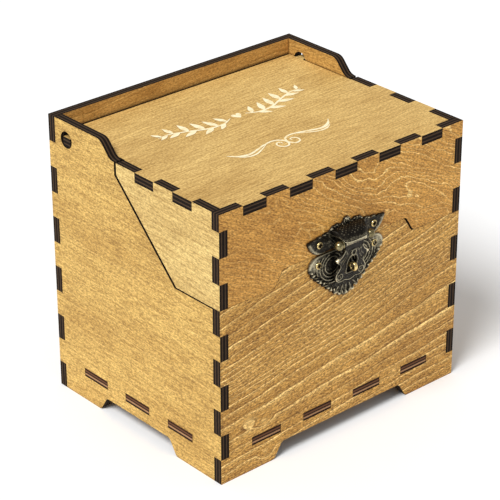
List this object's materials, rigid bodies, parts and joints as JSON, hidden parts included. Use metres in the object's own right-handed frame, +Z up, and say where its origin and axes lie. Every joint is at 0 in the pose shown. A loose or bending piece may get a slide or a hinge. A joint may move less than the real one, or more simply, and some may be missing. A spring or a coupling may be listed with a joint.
{
  "type": "wedding card box",
  "caption": "Plywood card box with finger-jointed walls, ogee feet, a lid that turns on its own pivot tabs, and an antique bronze hasp latch with a padlock eye.",
  "frame": {"origin": "centre of the bounding box's footprint, on the surface under the feet", "axes": "+Z up, +X to the right of someone facing the latch, -Y out of the latch side, +Y to the back"},
  "size_m": [0.19, 0.1634, 0.1825],
  "materials": {
    "plywood": "golden-tan stained plywood, satin, with laser-burnt dark edges",
    "antique_bronze": "antique bronze plating, dark in the hollows and rubbed bright on the ridges",
    "brass": "aged brass, satin"
  },
  "bodies": {
    "case": {"left_side": "plywood", "right_side": "plywood", "back_panel": "plywood", "front_panel": "plywood", "bottom_panel": "plywood", "catch_plate": "antique_bronze", "catch_staple": "brass", "catch_plate_screws": "brass"},
    "lid": {"lid_top": "plywood", "lid_front": "plywood", "lid_left_wing": "plywood", "lid_right_wing": "plywood", "hasp_plate": "antique_bronze", "hasp_pin": "antique_bronze", "hasp_plate_screws": "brass"},
    "hasp": {"hasp": "antique_bronze"}
  },
  "joints": [
    {"name": "lid_hinge", "type": "hinge", "parent": "case", "child": "lid", "pos_m": [0, 0.065, 0.1712], "axis": [-1, 0, 0], "range_deg": [0, 127]},
    {"name": "hasp_swing", "type": "hinge", "parent": "lid", "child": "hasp", "pos_m": [0, -0.0781, 0.1288], "axis": [-1, 0, 0], "range_deg": [0, 105]}
  ]
}
